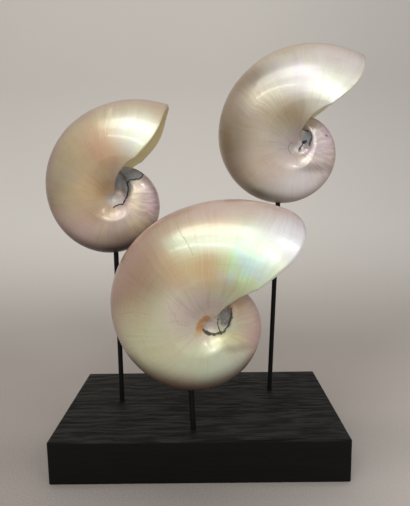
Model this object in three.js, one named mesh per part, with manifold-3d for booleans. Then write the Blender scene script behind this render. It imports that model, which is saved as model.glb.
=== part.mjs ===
// Three polished pearl nautilus shells on thin steel rods above a block of black-stained oak.
// Millimetres, +Z up, +Y away from the viewer. The origin is the centre of the block's underside.

import * as THREE from "three";
import { RoundedBoxGeometry } from "three/addons/geometries/RoundedBoxGeometry.js";
import { mergeVertices } from "three/addons/utils/BufferGeometryUtils.js";
import Module from "manifold-3d";

// The oak block.
const baseWidth = 220;
const baseDepth = 126;
const baseHeight = 33;
const baseEdgeRadius = 1.2;
const baseEdgeSteps = 2;

// The rods, the sockets they stand in, and the clearance between the two.
const rodRadius = 2;
const rodSides = 24;
const fitGap = 0.3;
const baseSocketDepth = 20;
const shellSocketDepth = 12;
const drillOverrun = 10;

// Growth rule that the three shells share. A whorl's radius shrinks by growthRate for each radian back
// from the lip. A cross-section is given in shares of that radius, measured from the coiling axis: it is
// widest at bulgeCentre, halfWidth to each side, and falls off as a superellipse of rimPower towards the
// rim and of navelPower towards the navel.
const growthRate = 0.18;
const bulgeCentre = 0.42;
const halfWidth = 0.385;
const rimPower = 2.15;
const navelPower = 1.5;

// The callus that plugs the navel, in shares of the lip radius, and how sharply the flank runs into it.
const plugHeight = 0.085;
const plugReach = 0.1;
const plugBlend = 5;

// The living chamber, an open hollow from the lip back to a domed septum, beside the previous whorl.
const wallThickness = 1.8;
const whorlCallus = 0.5;
const chamberAngle = 2.6;
const chamberSteps = 16;
const septumBulge = 0.35;
const septumSteps = 3;
const mouthOverrun = 0.12;
const whorlOverrun = 0.6;
const whorlSteps = 18;

// Mesh fineness: steps in one turn of the coil, and from the rim of a whorl to its navel.
const coilSteps = 40;
const flankSteps = 9;

// Each shell has a lip radius and a place. Angles are in degrees: its lip points up at lipAngle from +X,
// and it is turned about the vertical and tilted back. growthWaves are the unevenness of its growth, at
// one, two and three waves a turn. lipLine bends its growth lines between rim and navel, in radians.
// Its rod stands at rodFoot on the block and leans rodLean towards +X.
const shellPlans = [
  {
    name: "left",
    color: 0xb9a68d,
    lipRadius: 84,
    centre: [-65.3, 3.2, 206.5],
    lipAngle: 59.4,
    turn: 3.1,
    tilt: 0.3,
    growthWaves: [-0.062, 0.001, 0.001],
    lipLine: { sweep: 0.147, bow: 0.008, curl: -0.198, ripple: 0.122 },
    rodFoot: [-67.2, 3.5],
    rodLean: 0,
  },
  {
    name: "front",
    color: 0xcfc3ae,
    lipRadius: 99,
    centre: [9, -42.2, 115.2],
    lipAngle: 57.9,
    turn: 1,
    tilt: -2.9,
    growthWaves: [0.04, -0.018, -0.013],
    lipLine: { sweep: 0.127, bow: -0.261, curl: -0.128, ripple: 0.042 },
    rodFoot: [-4.6, -45.4],
    rodLean: -1.9,
  },
  {
    name: "right",
    color: 0xc9c0b2,
    lipRadius: 88.5,
    centre: [81.6, 22.7, 244.8],
    lipAngle: 59.8,
    turn: -0.6,
    tilt: -0.7,
    growthWaves: [0.032, -0.005, 0.003],
    lipLine: { sweep: -0.241, bow: 0.139, curl: -0.345, ripple: 0.149 },
    rodFoot: [61.7, 22.1],
    rodLean: 2.2,
  },
];

const fullTurn = 2 * Math.PI;
const radians = THREE.MathUtils.degToRad;
const wasm = await Module();
wasm.setup();

// A closed three.js geometry as a solid that can be joined and cut.
function toSolid(geometry) {
  const bare = geometry.clone();
  bare.deleteAttribute("normal");
  bare.deleteAttribute("uv");
  const merged = mergeVertices(bare);
  const vertProperties = new Float32Array(merged.attributes.position.array);
  const triVerts = new Uint32Array(merged.index.array);
  return new wasm.Manifold(new wasm.Mesh({ numProp: 3, vertProperties, triVerts }));
}

// Cutting can leave crumbs, which this drops.
function largestPiece(solid) {
  return solid.decompose().reduce((best, piece) => (piece.volume() > best.volume() ? piece : best));
}

function toGeometry(solid) {
  const { vertProperties, triVerts } = solid.getMesh();
  const geometry = new THREE.BufferGeometry();
  geometry.setAttribute("position", new THREE.BufferAttribute(vertProperties, 3));
  geometry.setIndex(new THREE.BufferAttribute(triVerts, 1));
  return geometry;
}

function finish(name, geometry, look) {
  geometry.computeVertexNormals();
  const mesh = new THREE.Mesh(geometry, new THREE.MeshStandardMaterial(look));
  mesh.name = name;
  return mesh;
}

// The whorl's rim radius, back radians behind the lip.
function rimRadius(plan, back) {
  const unevenness = plan.growthWaves.reduce(
    (sum, share, i) => sum + share * Math.sin((i + 1) * back),
    0,
  );
  return plan.lipRadius * Math.exp(unevenness - growthRate * back);
}

// How far behind the lip's rim point a growth line lies, at a share of the way from rim to navel.
function lineLag({ sweep, bow, curl, ripple }, share) {
  const arch = share * (1 - share);
  const wave = Math.sin(3 * Math.PI * share);
  return sweep * share + 4 * bow * arch + 10 * curl * arch * (1 - 2 * share) + ripple * wave;
}

// A cross-section's point at a share of the way from rim to navel: distance from the axis, and height.
function sectionPoint(plan, radius, share) {
  const along = Math.cos(Math.PI * share);
  const across = Math.sin(Math.PI * share);
  if (along > 0) {
    const out = bulgeCentre + (1 - bulgeCentre) * along ** (2 / rimPower);
    return new THREE.Vector2(out, halfWidth * across ** (2 / rimPower)).multiplyScalar(radius);
  }
  const out = radius * bulgeCentre * (1 - (-along) ** (2 / navelPower));
  const reach = out / (plugReach * plan.lipRadius);
  const plug = plugHeight * plan.lipRadius * Math.exp(-(reach ** 4));
  const flank = radius * halfWidth * Math.max(across, 0) ** (2 / navelPower);
  return new THREE.Vector2(out, (flank ** plugBlend + plug ** plugBlend) ** (1 / plugBlend));
}

// The same point moved in from the surface by inset, square to the section. At the rim that is straight
// towards the axis, and at the navel straight along it.
function insetPoint(plan, radius, share, inset) {
  const point = sectionPoint(plan, radius, share);
  if (share === 0) return point.setX(point.x - inset);
  if (share === 1) return point.setY(point.y - inset);
  const step = 0.01;
  const before = sectionPoint(plan, radius, share - step);
  const after = sectionPoint(plan, radius, share + step);
  const inward = after.sub(before).normalize().rotateAround(new THREE.Vector2(), Math.PI / 2);
  return point.addScaledVector(inward, inset);
}

// A growth line across the whole whorl, from the near navel over the rim to the far navel. The line can be
// shrunk towards the axis and carried further back.
function growthLine(plan, back, { inset = 0, shrink = 1, carry = 0 } = {}) {
  const line = [];
  for (let step = -flankSteps; step <= flankSteps; step++) {
    const share = Math.abs(step) / flankSteps;
    const lagged = back + lineLag(plan.lipLine, share);
    const radius = rimRadius(plan, lagged);
    const point = insetPoint(plan, radius, share, inset).multiplyScalar(shrink);
    const angle = radians(plan.lipAngle) + lagged + carry;
    if (share === 1) point.setX(0);
    line.push(
      new THREE.Vector3(
        point.x * Math.cos(angle),
        point.y * Math.sign(step),
        point.x * Math.sin(angle),
      ),
    );
  }
  return line;
}

// A closed surface over a row of lines that have the same number of points.
function skin(lines) {
  const corners = [];
  const triangle = (a, b, c) => {
    if (!a.equals(b) && !b.equals(c) && !c.equals(a)) corners.push(a, b, c);
  };
  for (let i = 0; i + 1 < lines.length; i++) {
    const here = lines[i];
    const next = lines[i + 1];
    for (let j = 0; j + 1 < here.length; j++) {
      triangle(here[j], here[j + 1], next[j]);
      triangle(here[j + 1], next[j + 1], next[j]);
    }
  }
  return new THREE.BufferGeometry().setFromPoints(corners);
}

function range(from, to, steps) {
  return Array.from({ length: steps + 1 }, (_, i) => from + ((to - from) * i) / steps);
}

// One full turn of the coil, closed by the step at the lip.
function coilSolid(plan) {
  const lines = range(0, fullTurn, coilSteps).map((back) => growthLine(plan, back));
  return toSolid(skin([...lines, lines[0]]));
}

// The space inside the wall, from just in front of the lip to the septum, right down to the axis.
function chamberSolid(plan) {
  const wall = { inset: wallThickness };
  const lines = range(-mouthOverrun, chamberAngle, chamberSteps).map((back) => growthLine(plan, back, wall));
  const dome = range(0, Math.PI / 2, septumSteps).slice(1);
  const front = dome.map((angle) => {
    return growthLine(plan, -mouthOverrun, { ...wall, shrink: Math.cos(angle) });
  });
  const septum = dome.map((angle) => {
    const carry = septumBulge * Math.sin(angle);
    return growthLine(plan, chamberAngle, { ...wall, shrink: Math.cos(angle), carry });
  });
  return toSolid(skin([...front.reverse(), ...lines, ...septum]));
}

// The previous whorl where it runs through the chamber, with the thin callus laid over it.
function whorlSolid(plan) {
  const start = fullTurn - 3 * mouthOverrun;
  const end = fullTurn + chamberAngle + whorlOverrun;
  const callus = { inset: -whorlCallus };
  const lines = range(start, end, whorlSteps).map((back) => growthLine(plan, back, callus));
  const axis = lines[0].map(() => new THREE.Vector3());
  return toSolid(skin([axis, ...lines, axis]));
}

// A rod's centre line, or its drilled socket's: the foot on the block's top, carried to a height.
function rodPoint(plan, height) {
  const rise = height - baseHeight;
  const [x, y] = plan.rodFoot;
  return new THREE.Vector3(x + rise * Math.tan(radians(plan.rodLean)), y, height);
}

function rodGeometry(plan, fromHeight, toHeight, radius) {
  const from = rodPoint(plan, fromHeight);
  const to = rodPoint(plan, toHeight);
  const geometry = new THREE.CylinderGeometry(radius, radius, from.distanceTo(to), rodSides);
  geometry.rotateX(Math.PI / 2);
  geometry.rotateY(radians(plan.rodLean));
  const middle = from.add(to).multiplyScalar(0.5);
  return geometry.translate(middle.x, middle.y, middle.z);
}

// Height of the shell's lowest point, where its rod goes in.
function shellUnderside(plan) {
  const [, , height] = plan.centre;
  return height - rimRadius(plan, 1.5 * Math.PI - radians(plan.lipAngle));
}

// A bare frame at the shell's place, turned as the shell is.
function shellFrame(plan) {
  const frame = new THREE.Object3D();
  frame.position.set(...plan.centre);
  frame.rotation.set(radians(plan.tilt), 0, radians(plan.turn), "ZXY");
  frame.updateMatrix();
  return frame;
}

function shellMesh(plan) {
  const frame = shellFrame(plan);
  const underside = shellUnderside(plan);
  const socket = rodGeometry(
    plan,
    underside - drillOverrun,
    underside + shellSocketDepth,
    rodRadius + fitGap,
  );
  socket.applyMatrix4(frame.matrix.clone().invert());
  const hollow = largestPiece(chamberSolid(plan).subtract(whorlSolid(plan)));
  const solid = coilSolid(plan).subtract(hollow).subtract(toSolid(socket));
  const look = { color: plan.color, roughness: 0.25, metalness: 0.1 };
  const mesh = finish(`shell_${plan.name}`, toGeometry(solid), look);
  mesh.position.copy(frame.position);
  mesh.rotation.copy(frame.rotation);
  return mesh;
}

function rodMesh(plan) {
  const seat = baseHeight - baseSocketDepth + fitGap;
  const top = shellUnderside(plan) + shellSocketDepth - fitGap;
  const look = { color: 0x161514, roughness: 0.45, metalness: 0.6 };
  return finish(`rod_${plan.name}`, rodGeometry(plan, seat, top, rodRadius), look);
}

function baseMesh() {
  const block = new RoundedBoxGeometry(baseWidth, baseDepth, baseHeight, baseEdgeSteps, baseEdgeRadius);
  block.translate(0, 0, baseHeight / 2);
  const bottom = baseHeight - baseSocketDepth;
  const top = baseHeight + drillOverrun;
  const drilled = shellPlans.reduce((solid, plan) => {
    return solid.subtract(toSolid(rodGeometry(plan, bottom, top, rodRadius + fitGap)));
  }, toSolid(block));
  const look = { color: 0x1f1e1b, roughness: 0.55, metalness: 0 };
  return finish("stand_base", toGeometry(drilled), look);
}

const group = new THREE.Group();
group.name = "nautilus_shells_on_stand";
group.add(baseMesh());
group.add(...shellPlans.map(rodMesh));
group.add(...shellPlans.map(shellMesh));

export default group;
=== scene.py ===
import math

import bmesh
import bpy
from mathutils import Matrix, Vector
from mathutils.noise import noise as noiseAt


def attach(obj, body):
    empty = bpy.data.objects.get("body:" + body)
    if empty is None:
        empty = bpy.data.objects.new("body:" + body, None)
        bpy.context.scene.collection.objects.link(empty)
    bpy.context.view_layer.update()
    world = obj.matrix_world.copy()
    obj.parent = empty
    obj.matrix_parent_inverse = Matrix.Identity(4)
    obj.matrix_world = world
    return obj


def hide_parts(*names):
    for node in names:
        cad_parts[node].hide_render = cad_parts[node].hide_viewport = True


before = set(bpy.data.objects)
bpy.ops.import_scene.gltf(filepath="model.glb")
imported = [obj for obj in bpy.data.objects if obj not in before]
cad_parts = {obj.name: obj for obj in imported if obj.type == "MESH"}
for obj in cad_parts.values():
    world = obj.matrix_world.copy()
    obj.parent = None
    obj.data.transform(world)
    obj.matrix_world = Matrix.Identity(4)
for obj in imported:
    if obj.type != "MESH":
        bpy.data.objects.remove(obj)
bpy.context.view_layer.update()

fullTurn = 2 * math.pi
weldGap = 1e-6  # metres

# Camera, in metres and degrees. The lens is for a 36 mm sensor along the picture's long side.
cameraSettings = dict(
    place=(0.00833, -0.37426, 0.21364), turn=0.38, pitch=-8.072, roll=0.816,
    lens=33.08, sensor=36, nearest=0.01,
)


def rotation(degrees, axis):
    return Matrix.Rotation(math.radians(degrees), 4, axis)


def makeCamera(settings):
    data = bpy.data.cameras.new("camera")
    data.lens, data.sensor_width, data.clip_start = settings["lens"], settings["sensor"], settings["nearest"]
    ob = bpy.data.objects.new("camera", data)
    bpy.context.collection.objects.link(ob)
    aim = rotation(settings["turn"], "Z") @ rotation(settings["pitch"], "X") @ rotation(settings["roll"], "Y")
    upright = rotation(90, "X")  # a camera looks down until it is stood up
    ob.matrix_world = Matrix.Translation(settings["place"]) @ aim @ upright
    bpy.context.scene.camera = ob


makeCamera(cameraSettings)
print("camera placed")


# Small helpers for node trees, shared by the Geometry Nodes and the materials.
def addNode(tree, kind, sockets=None, **settings):
    node = tree.nodes.new(kind)
    for name, value in settings.items():
        setattr(node, name, value)
    for name, value in (sockets or {}).items():
        plug(tree, node.inputs[name], value)
    return node


def plug(tree, socket, value):
    if isinstance(value, bpy.types.NodeSocket):
        tree.links.new(value, socket)
    else:
        socket.default_value = value


def geo(tree, kind, sockets=None, **settings):
    return addNode(tree, f"GeometryNode{kind}", sockets, **settings).outputs[0]


def calc(tree, operation, *values, clamp=False):
    node = addNode(tree, "ShaderNodeMath", operation=operation, use_clamp=clamp)
    for socket, value in zip(node.inputs, values):
        plug(tree, socket, value)
    return node.outputs[0]


def addUp(tree, *values):
    total = values[0]
    for value in values[1:]:
        total = calc(tree, "ADD", total, value)
    return total


def times(tree, *values):
    total = values[0]
    for value in values[1:]:
        total = calc(tree, "MULTIPLY", total, value)
    return total


def oneMinus(tree, value):
    return calc(tree, "SUBTRACT", 1.0, value)


def smooth(tree, value, low, high, toLow=0.0, toHigh=1.0):
    sockets = {"Value": value, "From Min": low, "From Max": high, "To Min": toLow, "To Max": toHigh}
    return addNode(tree, "ShaderNodeMapRange", sockets, interpolation_type="SMOOTHSTEP").outputs["Result"]


def bell(tree, value, centre, width):
    off = calc(tree, "DIVIDE", calc(tree, "SUBTRACT", value, centre), width)
    return calc(tree, "EXPONENT", times(tree, off, off, -1.0))


def combine(tree, x, y, z):
    return addNode(tree, "ShaderNodeCombineXYZ", {"X": x, "Y": y, "Z": z}).outputs[0]


def split(tree, vector):
    return addNode(tree, "ShaderNodeSeparateXYZ", {0: vector}).outputs


def vectorMath(tree, operation, first, second=(0.0, 0.0, 0.0), output=0):
    node = addNode(tree, "ShaderNodeVectorMath", {0: first}, operation=operation)
    plug(tree, node.inputs["Scale" if operation == "SCALE" else 1], second)
    return node.outputs[output]


def noise(tree, vector, scale, detail=2.0, seed=0.0, distortion=0.0):
    sockets = {"Vector": vector, "W": seed, "Scale": scale, "Detail": detail, "Distortion": distortion}
    return addNode(tree, "ShaderNodeTexNoise", sockets, noise_dimensions="4D").outputs["Fac"]


# The rule that all three shells grow by, in shares of the whorl's radius as in the CAD model.
growthRule = dict(
    growthRate=0.18,
    bulgeCentre=0.42,
    halfWidth=0.385,
    rimPower=2.15,
    navelPower=1.5,
    plugHeight=0.085,
    plugReach=0.1,
    plugShoulder=4.0,
    plugBlend=5.0,
    chamberAngle=2.6,
    wall=0.016,  # wall thickness behind the lip, as a share of the radius
    flankWall=1.2,  # how much more the wall has on the flanks
    lipTaper=0.35,  # radians over which the wall thins towards the lip
    lipThinning=0.55,  # how much thinner the wall is at the lip
    lipRound=0.004,
    hornShare=0.78,  # the mouth's corners, as a share of the way from rim to navel
    hornPower=5.0,
    septumBulge=0.3,
    flankTrim=0.978,  # these two keep the smooth shell inside the faceted one
    rimTrim=0.9965,
)
coreShrink = math.exp(-growthRule["growthRate"] * fullTurn)  # size of the whorl one turn back

# Grid steps round the coil, across the wall, along the chamber, and from rim to navel.
shellGrid = dict(coil=260, lip=5, chamber=104, septum=8, flank=50)

# Faint swellings between growth lines, and how they fade: behind the lip, one turn back, at the navel.
swellings = [
    dict(along=5.0, across=1.6, scale=2.2, detail=3.0, middle=0.6, height=0.004),
    dict(along=1.0, across=3.0, scale=1.6, detail=1.0, middle=0.62, height=0.01),
]
swellingFades = dict(lip=0.12, oneTurn=0.25, navel=(0.6, 0.76))

# The dip and crease beside the plug: bearings and dipFade in radians, the rest in shares of the lip radius.
creaseShape = dict(
    showsFrom=(2.8, 2.2),  # radians short of one turn behind the lip
    startBearing=(-2.4, -1.2), dipFade=0.5, dipEdge=(-0.004, 0.012), plugEdge=(0.055, 0.075),
    grooveWidth=0.006, grooveDepth=0.008, ridgeAt=-0.045, ridgeWidth=0.03, ridgeHeight=0.005,
)

# Each shell's own numbers: metres, degrees, and shares. A crease is its reach and rate, then the
# bearing where the dip starts and the dip's depth.
shellSettings = {
    "left": dict(
        lipRadius=0.084, centre=(-0.0653, 0.0032, 0.2065), lipAngle=59.4, turn=3.1, tilt=0.3,
        waves=(-0.062, 0.001, 0.001), sweep=0.147, bow=0.008, curl=-0.198, ripple=0.122, seed=3.0,
        crease=(0.125, 0.5, -0.5, 0.03),
    ),
    "front": dict(
        lipRadius=0.099, centre=(0.009, -0.0422, 0.1152), lipAngle=57.9, turn=1, tilt=-2.9,
        waves=(0.04, -0.018, -0.013), sweep=0.127, bow=-0.261, curl=-0.128, ripple=0.042, seed=11.0,
        crease=(0.125, 0.55, -0.2, 0.03),
    ),
    "right": dict(
        lipRadius=0.0885, centre=(0.0816, 0.0227, 0.2448), lipAngle=59.8, turn=-0.6, tilt=-0.7,
        waves=(0.032, -0.005, 0.003), sweep=-0.241, bow=0.139, curl=-0.345, ripple=0.149, seed=23.0,
        crease=(0.12, 0.4, -0.3, 0.03),
    ),
}

shellInputs = [
    "Lip Radius", "Lip Angle", "Wave One", "Wave Two", "Wave Three",
    "Sweep", "Bow", "Curl", "Ripple", "Seed", "Chamber Angle", "Wall",
    "Crease Reach", "Crease Rate", "Dip From", "Dip Depth",
]


# The rule's numbers for one shell, in the order of shellInputs.
def shellValues(plan):
    values = [
        plan["lipRadius"], plan["lipAngle"], *plan["waves"], plan["sweep"], plan["bow"], plan["curl"],
        plan["ripple"], plan["seed"], growthRule["chamberAngle"], growthRule["wall"], *plan["crease"],
    ]
    return dict(zip(shellInputs, values))


def newGeometryTree(name, floats):
    tree = bpy.data.node_groups.new(name, "GeometryNodeTree")
    tree.is_modifier = True
    tree.interface.new_socket("Geometry", in_out="OUTPUT", socket_type="NodeSocketGeometry")
    for label in floats:
        tree.interface.new_socket(label, in_out="INPUT", socket_type="NodeSocketFloat")
    tree.interface.new_socket("Material", in_out="INPUT", socket_type="NodeSocketMaterial")
    given = addNode(tree, "NodeGroupInput").outputs
    return tree, given


def endTree(tree, given, geometry):
    real = geo(tree, "RealizeInstances", {"Geometry": geometry})
    painted = geo(tree, "SetMaterial", {"Geometry": real, "Material": given["Material"]})
    addNode(tree, "NodeGroupOutput", {"Geometry": painted})


def store(tree, geometry, name, value, kind="FLOAT"):
    sockets = {"Geometry": geometry, "Name": name, "Value": value}
    return geo(tree, "StoreNamedAttribute", sockets, data_type=kind, domain="POINT")


def recall(tree, name):
    return geo(tree, "InputNamedAttribute", {"Name": name}, data_type="FLOAT")


# How far out the lining lies, as a share of the outside's reach.
def liningShrink(tree, given, rule, back, girth):
    share = calc(tree, "ABSOLUTE", girth)
    opened = smooth(tree, back, 0.0, rule["lipTaper"], 1 - rule["lipThinning"], 1.0)
    flank = calc(tree, "SINE", times(tree, share, math.pi))
    wall = times(tree, given["Wall"], opened, addUp(tree, 1.0, times(tree, flank, flank, rule["flankWall"])))
    outward = calc(tree, "POWER", calc(tree, "DIVIDE", share, rule["hornShare"]), rule["hornPower"])
    # just under 1, so that rounding leaves the corner shut
    horn = calc(tree, "SUBTRACT", 0.99999, outward, clamp=True)
    horn = calc(tree, "POWER", horn, 1 / rule["hornPower"])
    return addUp(tree, coreShrink, times(tree, calc(tree, "SUBTRACT", 1 - coreShrink, wall), horn))


# One grid. Every point has a "back" (radians behind the lip), a "girth" (-1 near navel, 0 rim, 1 far
# navel), a "shrink" towards the coiling axis, and a "lining" (1 inside the mouth).
def sheet(tree, steps, columns, back, girth, shrink, lining, flipped=False):
    sockets = {"Size X": 1.0, "Size Y": 1.0, "Vertices X": steps + 1, "Vertices Y": 2 * columns + 1}
    mesh = geo(tree, "MeshGrid", sockets)
    for name, value in (("back", back), ("girth", girth), ("shrink", shrink), ("lining", lining)):
        mesh = store(tree, mesh, name, value)
    if flipped:
        mesh = geo(tree, "FlipFaces", {"Mesh": mesh})
    return mesh


# The outside, the lip, the chamber's wall, the early whorl inside the chamber, and the septum.
def shellSheets(tree, given, rule, grid):
    place = split(tree, geo(tree, "InputPosition"))
    along, across = addUp(tree, place["X"], 0.5), times(tree, place["Y"], -2.0)
    hornColumns = round(grid["flank"] * rule["hornShare"])
    hornGirth = times(tree, across, hornColumns / grid["flank"])
    chamberBack = times(tree, along, given["Chamber Angle"])
    chamberWall = liningShrink(tree, given, rule, chamberBack, hornGirth)
    lipOut = liningShrink(tree, given, rule, 0.0, across)
    lipShrink = addUp(tree, 1.0, times(tree, calc(tree, "SUBTRACT", lipOut, 1.0), along))
    endIn = liningShrink(tree, given, rule, given["Chamber Angle"], hornGirth)
    endShrink = addUp(tree, endIn, times(tree, calc(tree, "SUBTRACT", coreShrink, endIn), along))
    swell = calc(tree, "SINE", times(tree, along, math.pi))
    bulge = times(tree, swell, oneMinus(tree, times(tree, across, across)), rule["septumBulge"])
    septumBack = addUp(tree, given["Chamber Angle"], bulge)
    lipBack = times(tree, swell, -rule["lipRound"])
    sheets = [
        sheet(tree, grid["coil"], grid["flank"], times(tree, along, fullTurn), across, 1.0, 0.0),
        sheet(tree, grid["lip"], grid["flank"], lipBack, across, lipShrink, 0.5, flipped=True),
        sheet(tree, grid["chamber"], hornColumns, chamberBack, hornGirth, chamberWall, 1.0, flipped=True),
        sheet(tree, grid["chamber"], hornColumns, addUp(tree, chamberBack, fullTurn), hornGirth, 1.0, 0.0),
        sheet(tree, grid["septum"], hornColumns, septumBack, hornGirth, endShrink, 1.0, flipped=True),
    ]
    joined = addNode(tree, "GeometryNodeJoinGeometry")
    for mesh in reversed(sheets):
        tree.links.new(mesh, joined.inputs[0])
    return joined.outputs[0]


# Swellings of the surface as a share of its reach, faded out where the sheets are welded.
def swellingShare(tree, given, lagged, girth, share, depth):
    raised = []
    for wave in swellings:
        where = combine(tree, times(tree, lagged, wave["along"]), times(tree, girth, wave["across"]), 0.0)
        level = noise(tree, where, wave["scale"], wave["detail"], given["Seed"])
        raised.append(times(tree, calc(tree, "SUBTRACT", level, wave["middle"]), wave["height"]))
    fade = times(
        tree, smooth(tree, depth, 0.0, swellingFades["lip"]),
        smooth(tree, depth, fullTurn - swellingFades["oneTurn"], fullTurn, 1.0, 0.0),
        smooth(tree, share, *swellingFades["navel"], 1.0, 0.0),
    )
    return times(tree, addUp(tree, *raised), fade)


# A dip beside the plug, ended by the crease where the early whorl rises. It follows the place on the
# shell and how far in the sheet lies, so that sheets which meet there stay together.
def navelDip(tree, given, shape, reach, bearing, depth):
    shown = smooth(tree, depth, *[fullTurn - short for short in shape["showsFrom"]])
    reachShare = calc(tree, "DIVIDE", reach, given["Lip Radius"])
    spiral = calc(tree, "EXPONENT", times(tree, bearing, given["Crease Rate"]))
    inside = calc(tree, "SUBTRACT", times(tree, given["Crease Reach"], spiral), reachShare)
    dip = times(
        tree, smooth(tree, inside, *shape["dipEdge"]), smooth(tree, reachShare, *shape["plugEdge"]),
        smooth(tree, bearing, given["Dip From"], addUp(tree, given["Dip From"], shape["dipFade"])),
        given["Dip Depth"],
    )
    started = smooth(tree, bearing, *shape["startBearing"])
    groove = times(tree, bell(tree, inside, 0.0, shape["grooveWidth"]), started, shape["grooveDepth"])
    ridge = bell(tree, inside, shape["ridgeAt"], shape["ridgeWidth"])
    ridge = times(tree, ridge, started, -shape["ridgeHeight"])
    return times(tree, addUp(tree, dip, groove, ridge), shown, given["Lip Radius"])


# How many radians each point lags behind the lip's line, "share" being the way from rim to navel.
def lipLag(tree, given, share):
    rest = oneMinus(tree, share)
    arch = times(tree, share, rest)
    return addUp(
        tree,
        times(tree, given["Sweep"], share),
        times(tree, given["Bow"], arch, 4.0),
        times(tree, given["Curl"], arch, calc(tree, "SUBTRACT", rest, share), 10.0),
        times(tree, given["Ripple"], calc(tree, "SINE", times(tree, share, 3 * math.pi))),
    )


# Height of a point above the middle plane: the flank's, blended into the plug's at the navel. Both are
# raised to a power in units of the lip radius, so that they keep their precision.
def sideHeight(tree, given, rule, side, reach, navelHalf):
    lipRadius, blend = given["Lip Radius"], rule["plugBlend"]
    away = calc(tree, "DIVIDE", reach, times(tree, lipRadius, rule["plugReach"]))
    fall = calc(tree, "EXPONENT", times(tree, calc(tree, "POWER", away, rule["plugShoulder"]), -1.0))
    plugHigh = times(tree, lipRadius, rule["plugHeight"], fall, navelHalf)
    powers = [calc(tree, "POWER", calc(tree, "DIVIDE", high, lipRadius), blend) for high in (side, plugHigh)]
    return times(tree, calc(tree, "POWER", addUp(tree, *powers), 1 / blend), lipRadius)


# One shell: sheets laid out on the growth rule and welded along their edges.
def shellTree(rule, grid):
    tree, given = newGeometryTree("nautilusShell", shellInputs)
    joined = shellSheets(tree, given, rule, grid)
    back, girth, shrink = recall(tree, "back"), recall(tree, "girth"), recall(tree, "shrink")
    share = calc(tree, "ABSOLUTE", girth)
    lagged = addUp(tree, back, lipLag(tree, given, share))

    # the coil's radius
    waves = addUp(
        tree,
        times(tree, given["Wave One"], calc(tree, "SINE", lagged)),
        times(tree, given["Wave Two"], calc(tree, "SINE", times(tree, lagged, 2.0))),
        times(tree, given["Wave Three"], calc(tree, "SINE", times(tree, lagged, 3.0))),
    )
    growth = calc(tree, "EXPONENT", addUp(tree, waves, times(tree, lagged, -rule["growthRate"])))
    radius = times(tree, given["Lip Radius"], growth)

    # the whorl's outline, from rim to navel
    rimPower, navelPower, centre = 2 / rule["rimPower"], 2 / rule["navelPower"], rule["bulgeCentre"]
    cosine = calc(tree, "COSINE", times(tree, share, math.pi))
    sine = calc(tree, "SINE", times(tree, share, math.pi), clamp=True)
    rimSide = calc(tree, "POWER", calc(tree, "MAXIMUM", cosine, 0.0), rimPower)
    navelSide = calc(tree, "POWER", calc(tree, "MAXIMUM", times(tree, cosine, -1.0), 0.0), navelPower)
    out = addUp(tree, centre, times(tree, rimSide, 1 - centre), times(tree, navelSide, -centre))
    navelHalf = calc(tree, "GREATER_THAN", share, 0.5)
    power = addUp(tree, rimPower, times(tree, navelHalf, navelPower - rimPower))
    flank = times(tree, calc(tree, "POWER", sine, power), rule["halfWidth"], rule["flankTrim"])

    inward = calc(tree, "DIVIDE", calc(tree, "LOGARITHM", shrink, math.e), -rule["growthRate"])
    depth = addUp(tree, back, inward)  # how far behind the lip the outside of the shell is this small
    raised = swellingShare(tree, given, lagged, girth, share, depth)
    shrink = times(tree, shrink, addUp(tree, 1.0, raised))
    reach = times(tree, radius, out, shrink, rule["rimTrim"])
    height = sideHeight(tree, given, rule, times(tree, radius, flank, shrink), reach, navelHalf)
    angle = addUp(tree, lagged, calc(tree, "RADIANS", given["Lip Angle"]))
    cosAngle, sinAngle = calc(tree, "COSINE", angle), calc(tree, "SINE", angle)
    bearing = calc(tree, "ARCTAN2", sinAngle, cosAngle)
    height = calc(tree, "SUBTRACT", height, navelDip(tree, given, creaseShape, reach, bearing, depth))
    height = times(tree, height, calc(tree, "SIGN", girth))
    point = combine(tree, times(tree, reach, cosAngle), height, times(tree, reach, sinAngle))

    mesh = geo(tree, "SetPosition", {"Geometry": joined, "Position": point})
    mesh = store(tree, mesh, "growth", lagged)
    inverse = calc(tree, "DIVIDE", 1.0, given["Lip Radius"])
    spot = vectorMath(tree, "MULTIPLY", point, combine(tree, inverse, inverse, inverse))
    mesh = store(tree, mesh, "spot", spot, "FLOAT_VECTOR")
    mesh = geo(tree, "MergeByDistance", {"Geometry": mesh, "Distance": weldGap})
    mesh = geo(tree, "SetShadeSmooth", {"Geometry": mesh})
    endTree(tree, given, mesh)
    return tree


# Evaluates a tree once and keeps the result as a plain mesh at the origin.
def runTree(name, tree, values, material):
    empty = bpy.data.meshes.new(name)
    ob = bpy.data.objects.new(name, empty)
    bpy.context.collection.objects.link(ob)
    modifier = ob.modifiers.new("build", "NODES")
    modifier.node_group = tree
    for item in tree.interface.items_tree:
        if item.item_type == "SOCKET" and item.in_out == "INPUT":
            modifier[item.identifier] = material if item.name == "Material" else values[item.name]
    solid = bpy.data.meshes.new_from_object(ob.evaluated_get(bpy.context.evaluated_depsgraph_get()))
    ob.modifiers.remove(modifier)
    ob.data = solid
    solid.name = name
    return ob


def makeShell(side, tree, material):
    plan = shellSettings[side]
    ob = runTree(f"nautilus_{side}", tree, shellValues(plan), material)
    lean = rotation(plan["turn"], "Z") @ rotation(plan["tilt"], "X")
    ob.data.transform(Matrix.Translation(plan["centre"]) @ lean)
    return ob


def newMaterial(name):
    material = bpy.data.materials.new(name)
    material.use_nodes = True
    tree = material.node_tree
    return material, tree, tree.nodes["Principled BSDF"]


# Screen values from 0 to 255, as linear light.
def tone(red, green, blue):
    def linear(value):
        value /= 255
        return value / 12.92 if value <= 0.04045 else ((value + 0.055) / 1.055) ** 2.4

    return (linear(red), linear(green), linear(blue), 1.0)


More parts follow.
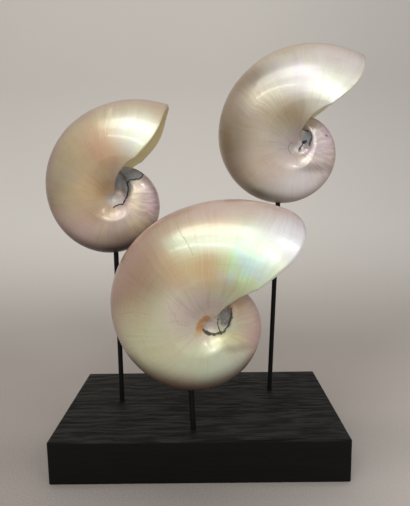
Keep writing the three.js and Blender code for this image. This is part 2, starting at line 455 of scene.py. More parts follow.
# A colour is a socket, or three screen values.
def mixColor(tree, factor, first, second, blend="MIX"):
    node = addNode(tree, "ShaderNodeMix", {0: factor}, data_type="RGBA", blend_type=blend, clamp_factor=True)
    for index, color in ((6, first), (7, second)):
        plug(tree, node.inputs[index], tone(*color) if isinstance(color, tuple) else color)
    return node.outputs[2]


def ramp(tree, factor, stops):
    node = addNode(tree, "ShaderNodeValToRGB", {"Fac": factor})
    node.color_ramp.interpolation = "EASE"
    elements = node.color_ramp.elements
    while len(elements) < len(stops):
        elements.new(0.5)
    for element, (place, color) in zip(list(elements), stops):
        element.position, element.color = place, color
    return node.outputs["Color"]


def setFinish(tree, shader, sockets):
    for name, value in sockets.items():
        plug(tree, shader.inputs[name], value)


def addBump(tree, shader, height, strength, distance):
    bump = addNode(tree, "ShaderNodeBump", {"Strength": strength, "Distance": distance, "Height": height})
    tree.links.new(bump.outputs[0], shader.inputs["Normal"])


# How near a point is to a drawn line: 1 on it, fading over its width.
def stroke(tree, place, points, width):
    nearest = None
    for start, end in zip(points, points[1:]):
        start, end = Vector((start[0], 0, start[1])), Vector((end[0], 0, end[1]))
        way = end - start
        off = vectorMath(tree, "SUBTRACT", place, start)
        share = vectorMath(tree, "DOT_PRODUCT", off, way / way.length_squared, output=1)
        share = addNode(tree, "ShaderNodeClamp", {"Value": share}).outputs[0]
        foot = vectorMath(tree, "SCALE", tuple(way), share)
        gap = vectorMath(tree, "LENGTH", vectorMath(tree, "SUBTRACT", off, foot), output=1)
        nearest = gap if nearest is None else calc(tree, "MINIMUM", nearest, gap)
    return smooth(tree, nearest, width * 0.35, width, 1.0, 0.0)


def blot(tree, place, centre, size, full=0.55, none=1.1):
    off = vectorMath(tree, "SUBTRACT", place, (centre[0], 0.0, centre[1]))
    off = vectorMath(tree, "MULTIPLY", off, (1 / size[0], 0.0, 1 / size[1]))
    return smooth(tree, vectorMath(tree, "LENGTH", off, output=1), full, none, 1.0, 0.0)


# Looks of each shell. Places are in shares of the lip radius from the coiling axis, rightwards and up.
# A wash is (centre, size, colour, strength), and a blot adds how matte it is. A line is (points, width,
# colour, strength), and the painted shade on the lower rim is (strength, reach, colour). The slate on
# the early whorl, grey-blue nacre darkened as painted shade of the gap under the lip, starts the given
# radians past one turn behind the lip, and "layer" is the pearl's thin film in nanometres.
nacreLooks = {
    "left": dict(
        tones=((190, 160, 142), (206, 182, 150), (214, 200, 164), (202, 184, 170)),
        slateShade=(186, 188, 194), slateShadeFrom=-0.1, layer=355, green=0.25, mottle=0.4, wrinkle=0.4,
        paintedUnderShade=(0.85, 0.33, (92, 76, 72)), rimTone=(150, 126, 118), lining=(240, 220, 174), seed=3.0,
        washes=[
            ((-0.3, 0.4), (0.4, 0.4), (182, 158, 120), 0.6),
            ((-0.6, 0.15), (0.26, 0.5), (150, 132, 106), 0.6),
            ((0.0, 0.42), (0.3, 0.24), (218, 170, 138), 0.7),
            # painted highlight: whitens the ridge where the highlight falls
            ((0.24, 0.6), (0.26, 0.25), (232, 232, 216), 0.7),
            ((-0.35, -0.3), (0.42, 0.28), (214, 184, 178), 0.8),
            # painted shade along the bottom
            ((0.05, -0.42), (0.34, 0.14), (140, 116, 108), 0.5),
            # these two are painted light, lifting the flank beside the navel out of its shade
            ((-0.2, -0.02), (0.3, 0.24), (214, 180, 138), 0.7),
            ((-0.14, 0.12), (0.2, 0.2), (238, 204, 158), 0.75),
            ((-0.12, -0.14), (0.14, 0.1), (166, 134, 96), 0.5),
            # painted highlight: a cream strip along the crease
            ((0.18, -0.03), (0.07, 0.2), (250, 236, 178), 0.7),
            ((0.35, -0.08), (0.09, 0.13), (232, 202, 218), 0.75),
            # painted highlight: a pink-white spot on the early whorl
            ((0.3, 0.08), (0.07, 0.06), (250, 232, 238), 0.7),
        ],
        blots=[
            # these two are slate windows: grey-blue nacre darkened as painted shade of the groove under the
            # lip
            ((0.12, 0.12), (0.075, 0.14), (128, 126, 126), 0.85, 0.6),
            ((0.205, 0.215), (0.085, 0.062), (140, 144, 152), 0.85, 0.5),
            ((0.01, -0.02), (0.1, 0.075), (206, 198, 194), 0.85, 0.6),
        ],
        lines=[
            ([(-0.004, -0.088), (0.035, -0.07), (0.08, -0.06), (0.12, 0.013), (0.132, 0.069), (0.124, 0.134)],
             0.011, (40, 36, 38), 0.95),
            ([(0.124, 0.134), (0.152, 0.16), (0.207, 0.166), (0.255, 0.178), (0.268, 0.213), (0.237, 0.248),
              (0.164, 0.28)], 0.012, (50, 48, 60), 0.85),
            ([(-0.01, 0.6), (-0.002, 0.7), (0.01, 0.78)], 0.03, (236, 222, 206), 0.22),
        ],
    ),
    "front": dict(
        tones=((190, 160, 142), (206, 188, 158), (204, 210, 176), (212, 198, 186)),
        slateShade=(132, 130, 138), slateShadeFrom=0.4, layer=370, green=0.95, mottle=0.12, wrinkle=0.5,
        paintedUnderShade=(0.85, 0.43, (100, 74, 68)), rimTone=(182, 152, 136), lining=(224, 210, 176), seed=11.0,
        washes=[
            ((-0.52, 0.42), (0.36, 0.44), (164, 126, 106), 0.8),
            ((-0.03, 0.42), (0.34, 0.2), (224, 186, 140), 0.75),
            ((-0.38, -0.1), (0.48, 0.36), (230, 226, 188), 0.8),
            ((0.08, -0.3), (0.42, 0.2), (208, 218, 198), 0.65),
            ((0.2, 0.15), (0.1, 0.08), (208, 166, 128), 0.6),
            ((-0.12, 0.14), (0.28, 0.24), (238, 216, 208), 0.75),
            ((0.33, 0.0), (0.12, 0.3), (214, 184, 172), 0.6),
            ((0.6, 0.7), (0.38, 0.34), (244, 240, 246), 0.92),
            # painted highlight: a silver core on the ridge highlight
            ((0.05, 0.62), (0.36, 0.11), (226, 238, 222), 0.6),
            ((0.1, 0.84), (0.56, 0.13), (226, 202, 194), 0.6),
            # painted highlight on the ridge by the crease; the next wash is painted shade under it
            ((0.13, -0.09), (0.13, 0.07), (226, 222, 164), 0.6),
            ((0.19, -0.16), (0.14, 0.04), (146, 134, 96), 0.5),
        ],
        blots=[
            # slate window: grey-blue nacre darkened as painted shade of the groove under the lip
            ((0.11, 0.06), (0.052, 0.085), (138, 134, 148), 0.85, 0.5),
            ((0.01, -0.005), (0.07, 0.055), (202, 188, 182), 0.85, 0.6),
            ((-0.03, 0.055), (0.036, 0.034), (206, 130, 36), 0.9, 0.5),
            ((-0.06, 0.04), (0.03, 0.022), (214, 156, 84), 0.7, 0.4),
            ((-0.072, 0.0), (0.036, 0.055), (208, 140, 56), 0.9, 0.5),
            ((-0.09, -0.05), (0.04, 0.03), (222, 180, 116), 0.6, 0.3),
            # painted shade at the lower right edge
            ((0.29, -0.33), (0.07, 0.035), (84, 72, 70), 0.6, 0.3),
        ],
        lines=[
            ([(-0.05, -0.03), (-0.035, -0.045), (-0.009, -0.06), (0.035, -0.066), (0.073, -0.049)],
             0.013, (58, 42, 34), 0.95),
            ([(0.06, -0.06), (0.095, -0.048), (0.132, 0.007), (0.152, 0.067), (0.15, 0.125)],
             0.008, (58, 50, 48), 0.9),
            ([(0.073, -0.049), (0.059, -0.016), (0.052, 0.021), (0.06, 0.04)], 0.007, (62, 52, 50), 0.85),
            ([(-0.228, 0.758), (-0.202, 0.685), (-0.143, 0.603), (-0.115, 0.53)],
             0.006, (138, 122, 100), 0.24),
            ([(-0.644, 0.106), (-0.568, 0.133), (-0.495, 0.137), (-0.422, 0.122)],
             0.007, (150, 138, 114), 0.22),
            ([(-0.304, 0.214), (-0.25, 0.124), (-0.226, 0.051), (-0.156, 0.02)],
             0.007, (176, 158, 132), 0.22),
        ],
    ),
    "right": dict(
        tones=((192, 174, 160), (204, 188, 166), (214, 208, 190), (208, 198, 196)),
        slateShade=(140, 148, 154), slateShadeFrom=0.4, layer=345, green=0.15, mottle=0.35, wrinkle=0.5,
        paintedUnderShade=(0.15, 0.24, (142, 136, 134)), rimTone=(158, 142, 112), lining=(222, 208, 176), seed=23.0,
        washes=[
            ((-0.62, 0.12), (0.24, 0.5), (144, 124, 96), 0.75),
            ((-0.2, -0.15), (0.38, 0.32), (224, 202, 188), 0.7),
            ((-0.3, 0.42), (0.3, 0.2), (224, 212, 182), 0.5),
            # painted shade below the highlight
            ((-0.05, 0.26), (0.34, 0.17), (176, 150, 112), 0.75),
            # painted light: a pale bottom, lifted because it gets little light
            ((0.1, -0.42), (0.5, 0.26), (244, 238, 242), 0.9),
            # painted shade on the lower left rim
            ((-0.45, -0.46), (0.24, 0.1), (90, 80, 62), 0.85),
            # painted highlight: widens the bright zone
            ((0.2, 0.37), (0.22, 0.24), (252, 248, 232), 0.8),
            ((0.29, 0.08), (0.08, 0.16), (240, 218, 228), 0.7),
            ((0.4, 0.8), (0.42, 0.22), (230, 220, 222), 0.7),
            # painted shade along the upper left rim, inside its edge
            ((-0.44, 0.6), (0.42, 0.17), (118, 102, 82), 0.62),
            ((0.1, -0.125), (0.16, 0.045), (238, 228, 204), 0.6),
            ((0.16, -0.19), (0.2, 0.06), (126, 114, 98), 0.7),
        ],
        blots=[
            # slate window: grey-blue nacre darkened as painted shade of the groove under the lip
            ((0.1, 0.08), (0.045, 0.075), (152, 162, 168), 0.85, 0.4),
            ((-0.01, -0.01), (0.07, 0.055), (210, 202, 194), 0.7, 0.6),
            ((0.075, 0.045), (0.026, 0.02), (40, 34, 30), 0.95, 0.6),
            ((0.035, -0.02), (0.016, 0.026), (90, 78, 66), 0.8, 0.6),
            ((0.272, 0.1), (0.016, 0.013), (110, 76, 84), 0.8, 0.4),
        ],
        lines=[
            ([(-0.046, 0.043), (-0.074, 0.016), (-0.08, -0.02), (-0.073, -0.038), (-0.04, -0.075)],
             0.006, (128, 116, 98), 0.6),
            ([(0.026, -0.036), (0.053, 0.018), (0.072, 0.05), (0.093, 0.06)], 0.01, (44, 38, 32), 0.95),
            ([(0.119, 0.013), (0.135, 0.076), (0.127, 0.129), (0.06, 0.16)], 0.008, (58, 56, 56), 0.85),
        ],
    ),
}

# Noise patterns in the nacre. One with a stretch is squeezed along the growth.
nacreNoises = dict(
    bend=dict(scale=3.0, detail=2.0, seed=5),
    fine=dict(stretch=(30.0, 1.6), detail=3.0, seed=0, distortion=0.25),  # growth lines, rim to navel
    rounds=dict(stretch=(70.0, 2.5), detail=3.0, seed=6),  # lines along the coil
    broad=dict(stretch=(3.4, 1.6), detail=2.0, seed=1),
    drift=dict(scale=1.7, detail=1.5, seed=2, distortion=0.3),
    crust=dict(scale=70.0, detail=2.0, seed=4),
    flakes=dict(stretch=(11.0, 4.5), detail=2.5, seed=7, distortion=0.6),
    fire=dict(scale=6.0, detail=1.0, seed=8),
    folds=dict(stretch=(9.0, 3.0), detail=2.0, seed=9, distortion=0.5),  # wrinkles
    silk=dict(scale=4.5, detail=1.0, seed=10),
)

# What the three shells have in common. A place is (centre, size).
nacreTones = dict(
    stops=(0.0, 0.3, 0.55, 0.78, 1.0),
    fire=((200, 244, 194), (196, 234, 238)), firePlace=((0.23, 0.46), (0.22, 0.25)),
    # flakes: iridescent patches; the pale pink and cream stops are partly painted highlights, the violet
    # partly painted shade
    flakes=((0.3, (172, 138, 160)), (0.46, (214, 178, 196)), (0.6, (250, 226, 222)), (0.75, (240, 226, 166))),
    flakesPlace=((0.26, -0.02), (0.26, 0.34)),
    # chamber is the pearly lining deep in the mouth, made paler as painted light against the shade there
    fine=(232, 218, 200), rounds=(236, 226, 212), folds=(176, 160, 140), chamber=(246, 240, 230),
)
nacreGloss = dict(metal=0.34, rough=0.3, roughBroad=0.12, roughMarked=0.4, roughInside=0.2)
nacreRelief = dict(broad=0.6, marked=-1.5, rounds=0.25, folds=-0.35, flakes=1.5, strength=0.28, depth=0.0004)
markWander = dict(scale=38.0, detail=2.0, reach=0.022)
nacreFinish = {
    "Coat Weight": 0.6, "Coat Roughness": 0.12, "IOR": 1.6, "Thin Film IOR": 1.45,
    "Subsurface Weight": 0.3, "Subsurface Radius": (1.0, 0.75, 0.5), "Subsurface Scale": 0.006,
}


def attribute(tree, name, output="Fac"):
    return addNode(tree, "ShaderNodeAttribute", attribute_name=name).outputs[output]


def swing(tree, value, amount):
    return times(tree, addUp(tree, value, -0.5), amount)


def nacreNoise(tree, look, kind, first, second=None, third=0.0):
    plan = nacreNoises[kind]
    if "stretch" in plan:
        along, across = plan["stretch"]
        first = combine(tree, times(tree, first, along), times(tree, second, across), third)
    scale, distortion = plan.get("scale", 1.0), plan.get("distortion", 0.0)
    return noise(tree, first, scale, plan["detail"], look["seed"] + plan["seed"], distortion)


# The patterns that the colours, the gloss and the bump share.
def nacrePattern(tree, look):
    growth, girth, back = attribute(tree, "growth"), attribute(tree, "girth"), attribute(tree, "back")
    spot = attribute(tree, "spot", "Vector")
    parts, share = split(tree, spot), calc(tree, "ABSOLUTE", girth)
    bent = addUp(tree, growth, swing(tree, nacreNoise(tree, look, "bend", spot), 0.3))
    patches = smooth(tree, nacreNoise(tree, look, "silk", spot), 0.4, 0.62, 0.4, 1.3)
    folds = smooth(tree, nacreNoise(tree, look, "folds", bent, girth), 0.52, 0.68)
    slateShadeFrom = fullTurn + look["slateShadeFrom"]
    return dict(
        spot=spot, level=parts["Z"], share=share,
        fine=nacreNoise(tree, look, "fine", bent, girth, parts["X"]),
        rounds=nacreNoise(tree, look, "rounds", girth, growth),
        broad=nacreNoise(tree, look, "broad", growth, girth, parts["Z"]),
        flakes=nacreNoise(tree, look, "flakes", bent, girth),
        silk=times(tree, smooth(tree, share, 0.5, 0.8, 1.0, 0.35), patches),
        folds=times(tree, folds, smooth(tree, share, 0.4, 0.62), look["wrinkle"]),
        early=times(tree, blot(tree, spot, *nacreTones["flakesPlace"], 0.3, 1.2), look["mottle"]),
        inside=smooth(tree, attribute(tree, "lining"), 0.4, 0.6),
        deep=smooth(tree, back, 0.1, 0.6),
        # where the slate covers the early whorl inside the mouth: grey-blue nacre darkened as painted shade
        slateShade=smooth(tree, back, slateShadeFrom, slateShadeFrom + 0.2),
    )


# Drifting tones with soft washes, some of them painted highlights, painted light and painted shade, green and
# blue fire on the flank behind the lip, and a rosy rim.
def nacreGround(tree, look, pattern):
    spot, share, fine = pattern["spot"], pattern["share"], pattern["fine"]
    drift = nacreNoise(tree, look, "drift", spot)
    phase = addUp(
        tree, swing(tree, drift, 1.5), swing(tree, pattern["broad"], 0.7), swing(tree, fine, 0.2),
        times(tree, share, 0.4), 0.3,
    )
    tones = [tone(*paint) for paint in look["tones"]]
    color = ramp(tree, phase, list(zip(nacreTones["stops"], tones + tones[:1])))
    for centre, size, paint, strength in look["washes"]:
        amount = times(tree, blot(tree, spot, centre, size, 0.1, 1.25), strength)
        color = mixColor(tree, amount, color, paint)
    glow = blot(tree, spot, *nacreTones["firePlace"], 0.1, 1.2)
    fire = times(tree, glow, smooth(tree, fine, 0.38, 0.6, 0.55, 1.0), look["green"])
    hue = smooth(tree, nacreNoise(tree, look, "fire", spot), 0.42, 0.62)
    color = mixColor(tree, fire, color, mixColor(tree, hue, *nacreTones["fire"]))
    return mixColor(tree, smooth(tree, share, 0.06, 0.3, 0.7, 0.0), color, look["rimTone"])


# Fine lines and wrinkles in the tone, and small iridescent patches on the early whorl whose pink and cream
# are partly painted highlights and whose violet is partly painted shade.
def nacreLines(tree, pattern, color):
    darkened = dict(
        fine=times(tree, smooth(tree, pattern["fine"], 0.35, 0.7), pattern["silk"], 0.28),
        rounds=smooth(tree, pattern["rounds"], 0.5, 0.7, 0.0, 0.25),
        folds=times(tree, pattern["folds"], 0.3),
    )
    for kind, amount in darkened.items():
        color = mixColor(tree, amount, color, nacreTones[kind], "MULTIPLY")
    hues = [(place, tone(*paint)) for place, paint in nacreTones["flakes"]]
    return mixColor(tree, pattern["early"], color, ramp(tree, pattern["flakes"], hues))


# The underside darkened as painted shade, the lining with its paler chamber (made pale as painted light
# against the shade inside the mouth), and the slate on the early whorl, grey-blue nacre darkened as painted
# shade of the gap under the lip.
def nacreEnds(tree, look, pattern, color):
    strength, reach, paint = look["paintedUnderShade"]
    # painted shade: darker towards the underside, near the rim
    low = smooth(tree, pattern["level"], -0.5, -0.15, 1.0, 0.0)
    low = times(tree, low, smooth(tree, pattern["share"], reach - 0.18, reach, 1.0, 0.0), strength)
    color = mixColor(tree, low, color, paint)
    # pearly lining, made pale and paler deeper in as painted light against the shade inside the mouth
    lining = mixColor(tree, pattern["deep"], look["lining"], nacreTones["chamber"])
    color = mixColor(tree, pattern["inside"], color, lining)
    # slate on the early whorl inside the mouth: grey-blue nacre darkened as painted shade of the gap under
    # the lip
    return mixColor(tree, pattern["slateShade"], color, look["slateShade"])


# Marks round the navel, with a wandering edge, some of them painted shade (the slate windows and a dark lower
# edge). Gives the colour, and how far the gloss is lost.
def navelMarks(tree, look, pattern, color):
    spot, reach = pattern["spot"], markWander["reach"]
    sockets = {"Vector": spot, "Scale": markWander["scale"], "Detail": markWander["detail"]}
    wander = addNode(tree, "ShaderNodeTexNoise", sockets).outputs["Color"]
    wander = vectorMath(tree, "SUBTRACT", wander, (0.5, 0.5, 0.5))
    wander = vectorMath(tree, "MULTIPLY", wander, (reach, 0.0, reach))
    place = vectorMath(tree, "ADD", vectorMath(tree, "MULTIPLY", spot, (1.0, 0.0, 1.0)), wander)
    outer = oneMinus(tree, pattern["inside"])
    crusty = smooth(tree, nacreNoise(tree, look, "crust", spot), 0.34, 0.56, 0.55, 1.0)
    marked = 0.0
    for centre, size, paint, strength, matte in look["blots"]:
        amount = times(tree, blot(tree, place, centre, size), strength, outer, crusty)
        color = mixColor(tree, amount, color, paint)
        marked = addUp(tree, times(tree, amount, matte), marked)
    for points, width, paint, strength in look["lines"]:
        amount = times(tree, stroke(tree, place, points, width), strength, outer)
        color = mixColor(tree, amount, color, paint)
        marked = addUp(tree, amount, marked)
    return color, calc(tree, "MINIMUM", marked, 1.0)


def nacreMaterial(side, look):
    material, tree, shader = newMaterial(f"nacre{side.capitalize()}")
    pattern = nacrePattern(tree, look)
    color = nacreLines(tree, pattern, nacreGround(tree, look, pattern))
    color, marked = navelMarks(tree, look, pattern, nacreEnds(tree, look, pattern, color))
    gloss, relief, broad, inside = nacreGloss, nacreRelief, pattern["broad"], pattern["inside"]
    shine = times(tree, oneMinus(tree, marked), oneMinus(tree, times(tree, inside, 0.9)))
    metallic = times(tree, shine, oneMinus(tree, pattern["slateShade"]), gloss["metal"])
    rough = addUp(
        tree, gloss["rough"], times(tree, broad, gloss["roughBroad"]),
        times(tree, marked, gloss["roughMarked"]), times(tree, inside, gloss["roughInside"]),
    )
    setFinish(tree, shader, {"Base Color": color, "Metallic": metallic, "Roughness": rough})
    setFinish(tree, shader, nacreFinish | {"Thin Film Thickness": look["layer"]})
    height = addUp(
        tree, times(tree, pattern["fine"], pattern["silk"]), times(tree, broad, relief["broad"]),
        times(tree, marked, relief["marked"]), times(tree, pattern["rounds"], relief["rounds"]),
        times(tree, pattern["folds"], relief["folds"]),
        times(tree, pattern["early"], pattern["flakes"], relief["flakes"]),
    )
    addBump(tree, shader, height, relief["strength"], relief["depth"])
    return material


growRule = shellTree(growthRule, shellGrid)
for side, look in nacreLooks.items():
    piece = makeShell(side, growRule, nacreMaterial(side, look))
    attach(piece, "root")
    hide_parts(f"shell_{side}")
print("shells grown")

# The oak block, in metres. Its pores follow the width, and the sides are smoother than the top.
blockSettings = dict(
    width=0.22, depth=0.126, height=0.033, edge=0.0012, edgeShares=(0.0, 0.18, 0.4, 0.68, 1.0),
    stepAlong=0.004, stepAcross=0.0009, relief=0.00014, sideShare=0.25,
    poreScale=(55, 900), poreFrom=0.55, poreGain=1.6, swellScale=(9, 60), swellShift=7, swellShare=0.3,
)

# Rods, in metres and degrees: where each leaves the block, and its lean.
rodSettings = {
    "left": dict(foot=(-0.0672, 0.0035), lean=0.0),
    "front": dict(foot=(-0.0046, -0.0454), lean=-1.9),
    "right": dict(foot=(0.0617, 0.0221), lean=2.2),
}
rodShape = dict(radius=0.002, bevel=0.0003, intoShell=0.0117, intoBlock=0.0197, rings=90, sides=40)
rodInputs = ["Radius", "Bevel", "Foot X", "Foot Y", "Foot Z", "Top X", "Top Y", "Top Z"]
rodFinish = dict(
    drawn=0.06, lines=2600.0, grains=1400.0, patches=60.0,
    tones=((7, 7, 7), (13, 13, 12)), grainTone=(30, 29, 28), rough=0.44, roughGrain=0.25, specular=0.2,
    bump=0.25, bumpDepth=0.0001,
)


def rimRadius(plan, angle):
    first, second, third = plan["waves"]
    waves = first * math.sin(angle) + second * math.sin(2 * angle) + third * math.sin(3 * angle)
    return plan["lipRadius"] * math.exp(waves - growthRule["growthRate"] * angle)


def rodPoint(rod, height):
    reach = (height - blockSettings["height"]) * math.tan(math.radians(rod["lean"]))
    return Vector((rod["foot"][0] + reach, rod["foot"][1], height))


def rodEnds(side, rod):
    plan = shellSettings[side]
    underside = plan["centre"][2] - rimRadius(plan, 1.5 * math.pi - math.radians(plan["lipAngle"]))
    bottom = blockSettings["height"] - rodShape["intoBlock"]
    return rodPoint(rod, bottom), rodPoint(rod, underside + rodShape["intoShell"])


def rodTree(shape):
    tree, given = newGeometryTree("standRod", rodInputs)
    start = combine(tree, given["Foot X"], given["Foot Y"], given["Foot Z"])
    end = combine(tree, given["Top X"], given["Top Y"], given["Top Z"])
    line = geo(tree, "CurvePrimitiveLine", {"Start": start, "End": end})
    line = geo(tree, "ResampleCurve", {"Curve": line, "Count": shape["rings"]})
    # the last point at each end is narrower, for a small bevel
    index = geo(tree, "InputIndex")
    lastRing = calc(tree, "GREATER_THAN", index, shape["rings"] - 1.5)
    atEnd = calc(tree, "MAXIMUM", calc(tree, "LESS_THAN", index, 0.5), lastRing)
    narrow = oneMinus(tree, times(tree, atEnd, calc(tree, "DIVIDE", given["Bevel"], given["Radius"])))
    sockets = {"Resolution": shape["sides"], "Radius": given["Radius"]}
    ring = geo(tree, "CurvePrimitiveCircle", sockets)
    sockets = {"Curve": line, "Profile Curve": ring, "Scale": narrow, "Fill Caps": True}
    rod = geo(tree, "CurveToMesh", sockets)
    rod = geo(tree, "SetShadeSmooth", {"Geometry": rod})
    endTree(tree, given, rod)
    return tree


def rodMaterial(finish):
    material, tree, shader = newMaterial("blackRod")
    place = addNode(tree, "ShaderNodeTexCoord").outputs["Object"]
    lines = noise(tree, vectorMath(tree, "MULTIPLY", place, (1.0, 1.0, finish["drawn"])), finish["lines"])
    grains = noise(tree, place, finish["grains"], 3.0, 2.0)
    patches = noise(tree, place, finish["patches"], 2.0, 5.0)
    color = mixColor(tree, patches, *finish["tones"])
    color = mixColor(tree, smooth(tree, grains, 0.62, 0.75, 0.0, 0.4), color, finish["grainTone"])
    rough = addUp(tree, finish["rough"], times(tree, grains, finish["roughGrain"]))
    sockets = {"Base Color": color, "Roughness": rough, "Specular IOR Level": finish["specular"]}
    setFinish(tree, shader, sockets)
    height = addUp(tree, times(tree, lines, 0.6), grains)
    addBump(tree, shader, height, finish["bump"], finish["bumpDepth"])
    return material


rodRule, rodBlack = rodTree(rodShape), rodMaterial(rodFinish)
for side, rod in rodSettings.items():
    foot, top = rodEnds(side, rod)
    values = dict(zip(rodInputs, [rodShape["radius"], rodShape["bevel"], *foot, *top]))
    piece = runTree(f"steelRod_{side}", rodRule, values, rodBlack)
    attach(piece, "root")
    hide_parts(f"rod_{side}")
print("rods drawn")


def edgeLines(size, step, settings):
    edge = settings["edge"]
    rounds = [edge * share for share in settings["edgeShares"]]
    inner = size - 2 * edge
    count = max(1, round(inner / step))
    middle = [edge + inner * i / count for i in range(1, count)]
    return rounds + middle + [size - place for place in reversed(rounds)]


# Six close sheets, welded along their edges.
def blockSheets(size, lines):
    mesh = bmesh.new()
    for axis in range(3):
        first, second = [other for other in range(3) if other != axis]
        for level in (0.0, size[axis]):
            rows = []
            for u in lines[first]:
                row = []
                for v in lines[second]:
                    point = [0.0, 0.0, 0.0]
                    point[axis], point[first], point[second] = level, u, v
                    row.append(mesh.verts.new((point[0] - size[0] / 2, point[1] - size[1] / 2, point[2])))
                rows.append(row)
            for near, far in zip(rows, rows[1:]):
                for j in range(len(near) - 1):
                    mesh.faces.new((near[j], far[j], far[j + 1], near[j + 1]))
    bmesh.ops.remove_doubles(mesh, verts=mesh.verts, dist=weldGap)
    bmesh.ops.recalc_face_normals(mesh, faces=mesh.faces)
    return mesh


def turbulence(place):
    return 0.5 + 0.5 * noiseAt(place)


def stretched(place, scale, shift=0):
    return Vector((place.x * scale[0], place.y * scale[1] + shift, place.z * scale[1]))


# How deep the open grain lies at a point, measured from the block's middle.
def grainDepth(local, half, settings):
    if local.z < -half.z + weldGap:
        return 0.0  # the underside stays flat
    poreFrom, relief = settings["poreFrom"], settings["relief"]
    pore = max(0.0, turbulence(stretched(local, settings["poreScale"])) - poreFrom) / (1 - poreFrom)
    swell = 0.5 + 0.5 * turbulence(stretched(local, settings["swellScale"], settings["swellShift"]))
    sunk = relief * min(1.0, pore * settings["poreGain"]) + relief * settings["swellShare"] * (1 - swell)
    return sunk if local.z > half.z - weldGap else sunk * settings["sideShare"]


# Every point is pulled onto the rounded outline, less the grain.
def blockMesh(settings):
    size = (settings["width"], settings["depth"], settings["height"])
    steps = (settings["stepAlong"], settings["stepAcross"], settings["stepAcross"])
    mesh = blockSheets(size, [edgeLines(length, step, settings) for length, step in zip(size, steps)])
    half, edge = Vector(size) / 2, settings["edge"]
    middle = Vector((0, 0, half.z))
    for vert in mesh.verts:
        local = vert.co - middle
        core = Vector([max(edge - half[i], min(half[i] - edge, local[i])) for i in range(3)])
        out = (local - core).normalized()
        vert.co = core + out * (edge - grainDepth(local, half, settings)) + middle
    return mesh


# Black-stained oak: noise scales per metre, and tones.
oakFinish = dict(
    bend=22.0, drift=0.006, squeeze=(0.06, 1.0, 1.0),
    pores=900.0, bands=150.0, streaks=300.0, flecks=420.0, cloud=18.0,
    bandTones=((4, 4, 3), (25, 26, 23)), fleckTone=(40, 40, 36), poreTone=(6, 6, 6), cloudTone=(20, 20, 18),
    sideShadeTone=(6, 6, 5), topFade=(0.0014, 0.0002), rough=0.45, specular=0.18, bump=0.8, bumpDepth=0.0005,
)


def oakMaterial(finish):
    material, tree, shader = newMaterial("stainedOak")
    place = addNode(tree, "ShaderNodeTexCoord").outputs["Object"]
    sockets = {"Vector": place, "Scale": finish["bend"], "Detail": 1.0}
    bend = addNode(tree, "ShaderNodeTexNoise", sockets).outputs["Color"]
    bend = vectorMath(tree, "SUBTRACT", bend, (0.5, 0.5, 0.5))
    bend = vectorMath(tree, "MULTIPLY", bend, (0.0, finish["drift"], finish["drift"]))
    along = vectorMath(tree, "MULTIPLY", vectorMath(tree, "ADD", place, bend), finish["squeeze"])
    pores = noise(tree, along, finish["pores"], 3.0, 1.0)
    bands = noise(tree, along, finish["bands"], 2.5, 4.0, 0.4)
    shorter = vectorMath(tree, "MULTIPLY", along, (1.8, 1.0, 1.0))
    streaks = noise(tree, shorter, finish["streaks"], 2.0, 6.0, 0.4)
    flecks = noise(tree, along, finish["flecks"], 2.0, 8.0)
    cloud = noise(tree, place, finish["cloud"], 2.0, 2.0)
    # painted shade: the sides are darker than the top
    topFade = [blockSettings["height"] - below for below in finish["topFade"]]
    top = smooth(tree, split(tree, place)["Z"], *topFade)
    color = mixColor(tree, smooth(tree, bands, 0.36, 0.64), *finish["bandTones"])
    layers = dict(
        fleckTone=smooth(tree, flecks, 0.52, 0.68, 0.0, 0.45),
        poreTone=smooth(tree, pores, 0.54, 0.64, 0.0, 0.8),
        cloudTone=smooth(tree, cloud, 0.35, 0.7, 0.0, 0.25),
        # painted shade on the sides
        sideShadeTone=times(tree, oneMinus(tree, top), 0.9),
    )
    for name, amount in layers.items():
        color = mixColor(tree, amount, color, finish[name])
    rough = addUp(tree, finish["rough"], times(tree, bands, 0.25), times(tree, pores, 0.1))
    glint = times(tree, top, smooth(tree, streaks, 0.42, 0.6, -0.08, 0.12))
    glint = addUp(tree, finish["specular"], glint)
    setFinish(tree, shader, {"Base Color": color, "Roughness": rough, "Specular IOR Level": glint})
    height = addUp(tree, times(tree, smooth(tree, pores, 0.5, 0.68), -0.7), times(tree, streaks, 0.8))
    height = times(tree, height, addUp(tree, 0.3, times(tree, top, 0.7)))
    addBump(tree, shader, height, finish["bump"], finish["bumpDepth"])
    return material


def plainObject(name, mesh, material):
    data = bpy.data.meshes.new(name)
    mesh.to_mesh(data)
    mesh.free()
    for polygon in data.polygons:
        polygon.use_smooth = True
    data.materials.append(material)
    ob = bpy.data.objects.new(name, data)
    bpy.context.collection.objects.link(ob)
    return ob


block = plainObject("oakBlock", blockMesh(blockSettings), oakMaterial(oakFinish))
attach(block, "root")
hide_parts("stand_base")
print("block cut")

# A floor that sweeps up into a wall, in metres, and its tones from left to right: painted light that makes
# the floor paler and the wall darker towards the right.
stageSettings = dict(
    front=-1.2, sweepStart=0.42, sweepRadius=0.5, sweepSteps=24, top=2.6, halfWidth=2.4,
    # painted light: the floor paler and the wall darker towards the right
    floorShadeToLight=((141, 133, 126), (182, 175, 169)), wallLightToShade=((207, 203, 195), (190, 187, 182)),
    speckTone=(228, 222, 214), cloudTone=(176, 170, 168),
    finish={"Roughness": 0.8, "Specular IOR Level": 0.2},
)


def stageMesh(settings):
    start, radius, steps = settings["sweepStart"], settings["sweepRadius"], settings["sweepSteps"]
    profile = [(settings["front"], 0.0), (start, 0.0)]
    for i in range(1, steps + 1):
        angle = math.pi / 2 * i / steps
        profile.append((start + radius * math.sin(angle), radius * (1 - math.cos(angle))))
    profile.append((start + radius, settings["top"]))
    mesh = bmesh.new()
    sides = (-settings["halfWidth"], settings["halfWidth"])
    rows = [[mesh.verts.new((x, y, z)) for x in sides] for y, z in profile]
    for low, high in zip(rows, rows[1:]):
        mesh.faces.new((low[0], low[1], high[1], high[0]))
    return mesh


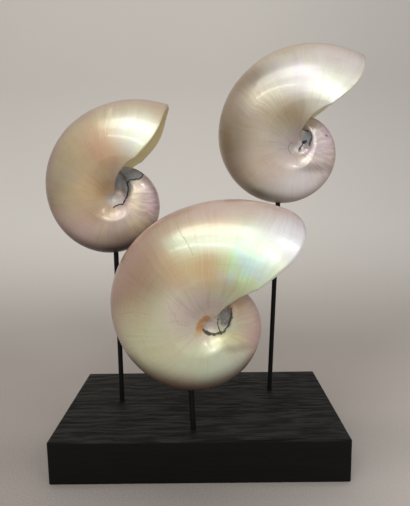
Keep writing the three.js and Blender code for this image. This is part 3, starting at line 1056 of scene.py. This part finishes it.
def groundMaterial(settings):
    material, tree, shader = newMaterial("paleGround")
    place = addNode(tree, "ShaderNodeTexCoord").outputs["Object"]
    speck = noise(tree, place, 900.0)
    cloud = noise(tree, place, 3.0, 2.0, 3.0)
    parts = split(tree, place)
    upTheWall = smooth(tree, addUp(tree, parts["Y"], times(tree, parts["Z"], 1.6)), 0.0, 1.0)
    # painted light: the floor paler towards the near right
    paintedLightRight = smooth(tree, addUp(tree, parts["X"], times(tree, parts["Y"], -0.8)), 0.02, 0.3)
    floor = mixColor(tree, paintedLightRight, *settings["floorShadeToLight"])
    # painted shade: the wall darker towards the right
    wall = mixColor(tree, smooth(tree, parts["X"], 0.0, 0.7), *settings["wallLightToShade"])
    color = mixColor(tree, upTheWall, floor, wall)
    color = mixColor(tree, smooth(tree, speck, 0.35, 0.65, 0.0, 0.12), color, settings["speckTone"])
    color = mixColor(tree, times(tree, cloud, 0.2), color, settings["cloudTone"])
    setFinish(tree, shader, {"Base Color": color} | settings["finish"])
    return material


plainObject("paleGround", stageMesh(stageSettings), groundMaterial(stageSettings))

# Lamps: place and aim in metres, size in metres, power in watts.
lampSettings = dict(
    ceilingPanel=dict(place=(-0.2, -0.78, 1.15), aim=(-0.03, 0.0, 0.15), size=(0.88, 0.38), power=4.4),
    farStrip=dict(place=(-0.62, -2.0, 1.35), aim=(0.0, 0.0, 0.18), size=(1.0, 0.07), power=3.8),
    farWindow=dict(place=(0.5, -2.0, 1.33), aim=(0.0, 0.0, 0.18), size=(0.3, 0.09), power=2.0),
    lowWindow=dict(place=(0.3, -2.0, 1.3), aim=(0.0, 0.0, 0.18), size=(0.9, 0.6), power=4.8),
    sideLamp=dict(place=(0.78, -0.92, 1.15), aim=(0.0, 0.0, 0.18), size=(0.34, 0.09), power=1.6),
    wallWash=dict(place=(0.0, 0.25, 2.3), aim=(0.0, 0.9, 0.5), size=(2.0, 0.3), power=13.5, glossy=False),
)
worldLight = {"Color": tone(214, 212, 212), "Strength": 0.75}


def makeLamp(name, lamp):
    data = bpy.data.lights.new(name, "AREA")
    data.shape = "RECTANGLE"
    data.size, data.size_y = lamp["size"]
    data.energy = lamp["power"]
    ob = bpy.data.objects.new(name, data)
    bpy.context.collection.objects.link(ob)
    ob.visible_glossy = lamp.get("glossy", True)
    way = Vector(lamp["aim"]) - Vector(lamp["place"])
    ob.matrix_world = Matrix.Translation(lamp["place"]) @ way.to_track_quat("-Z", "Y").to_matrix().to_4x4()


for name, lamp in lampSettings.items():
    makeLamp(name, lamp)
world = bpy.data.worlds.new("room")
world.use_nodes = True
setFinish(world.node_tree, world.node_tree.nodes["Background"], worldLight)
bpy.context.scene.world = world
bpy.context.scene.view_settings.view_transform = "Standard"
print("stage lit")
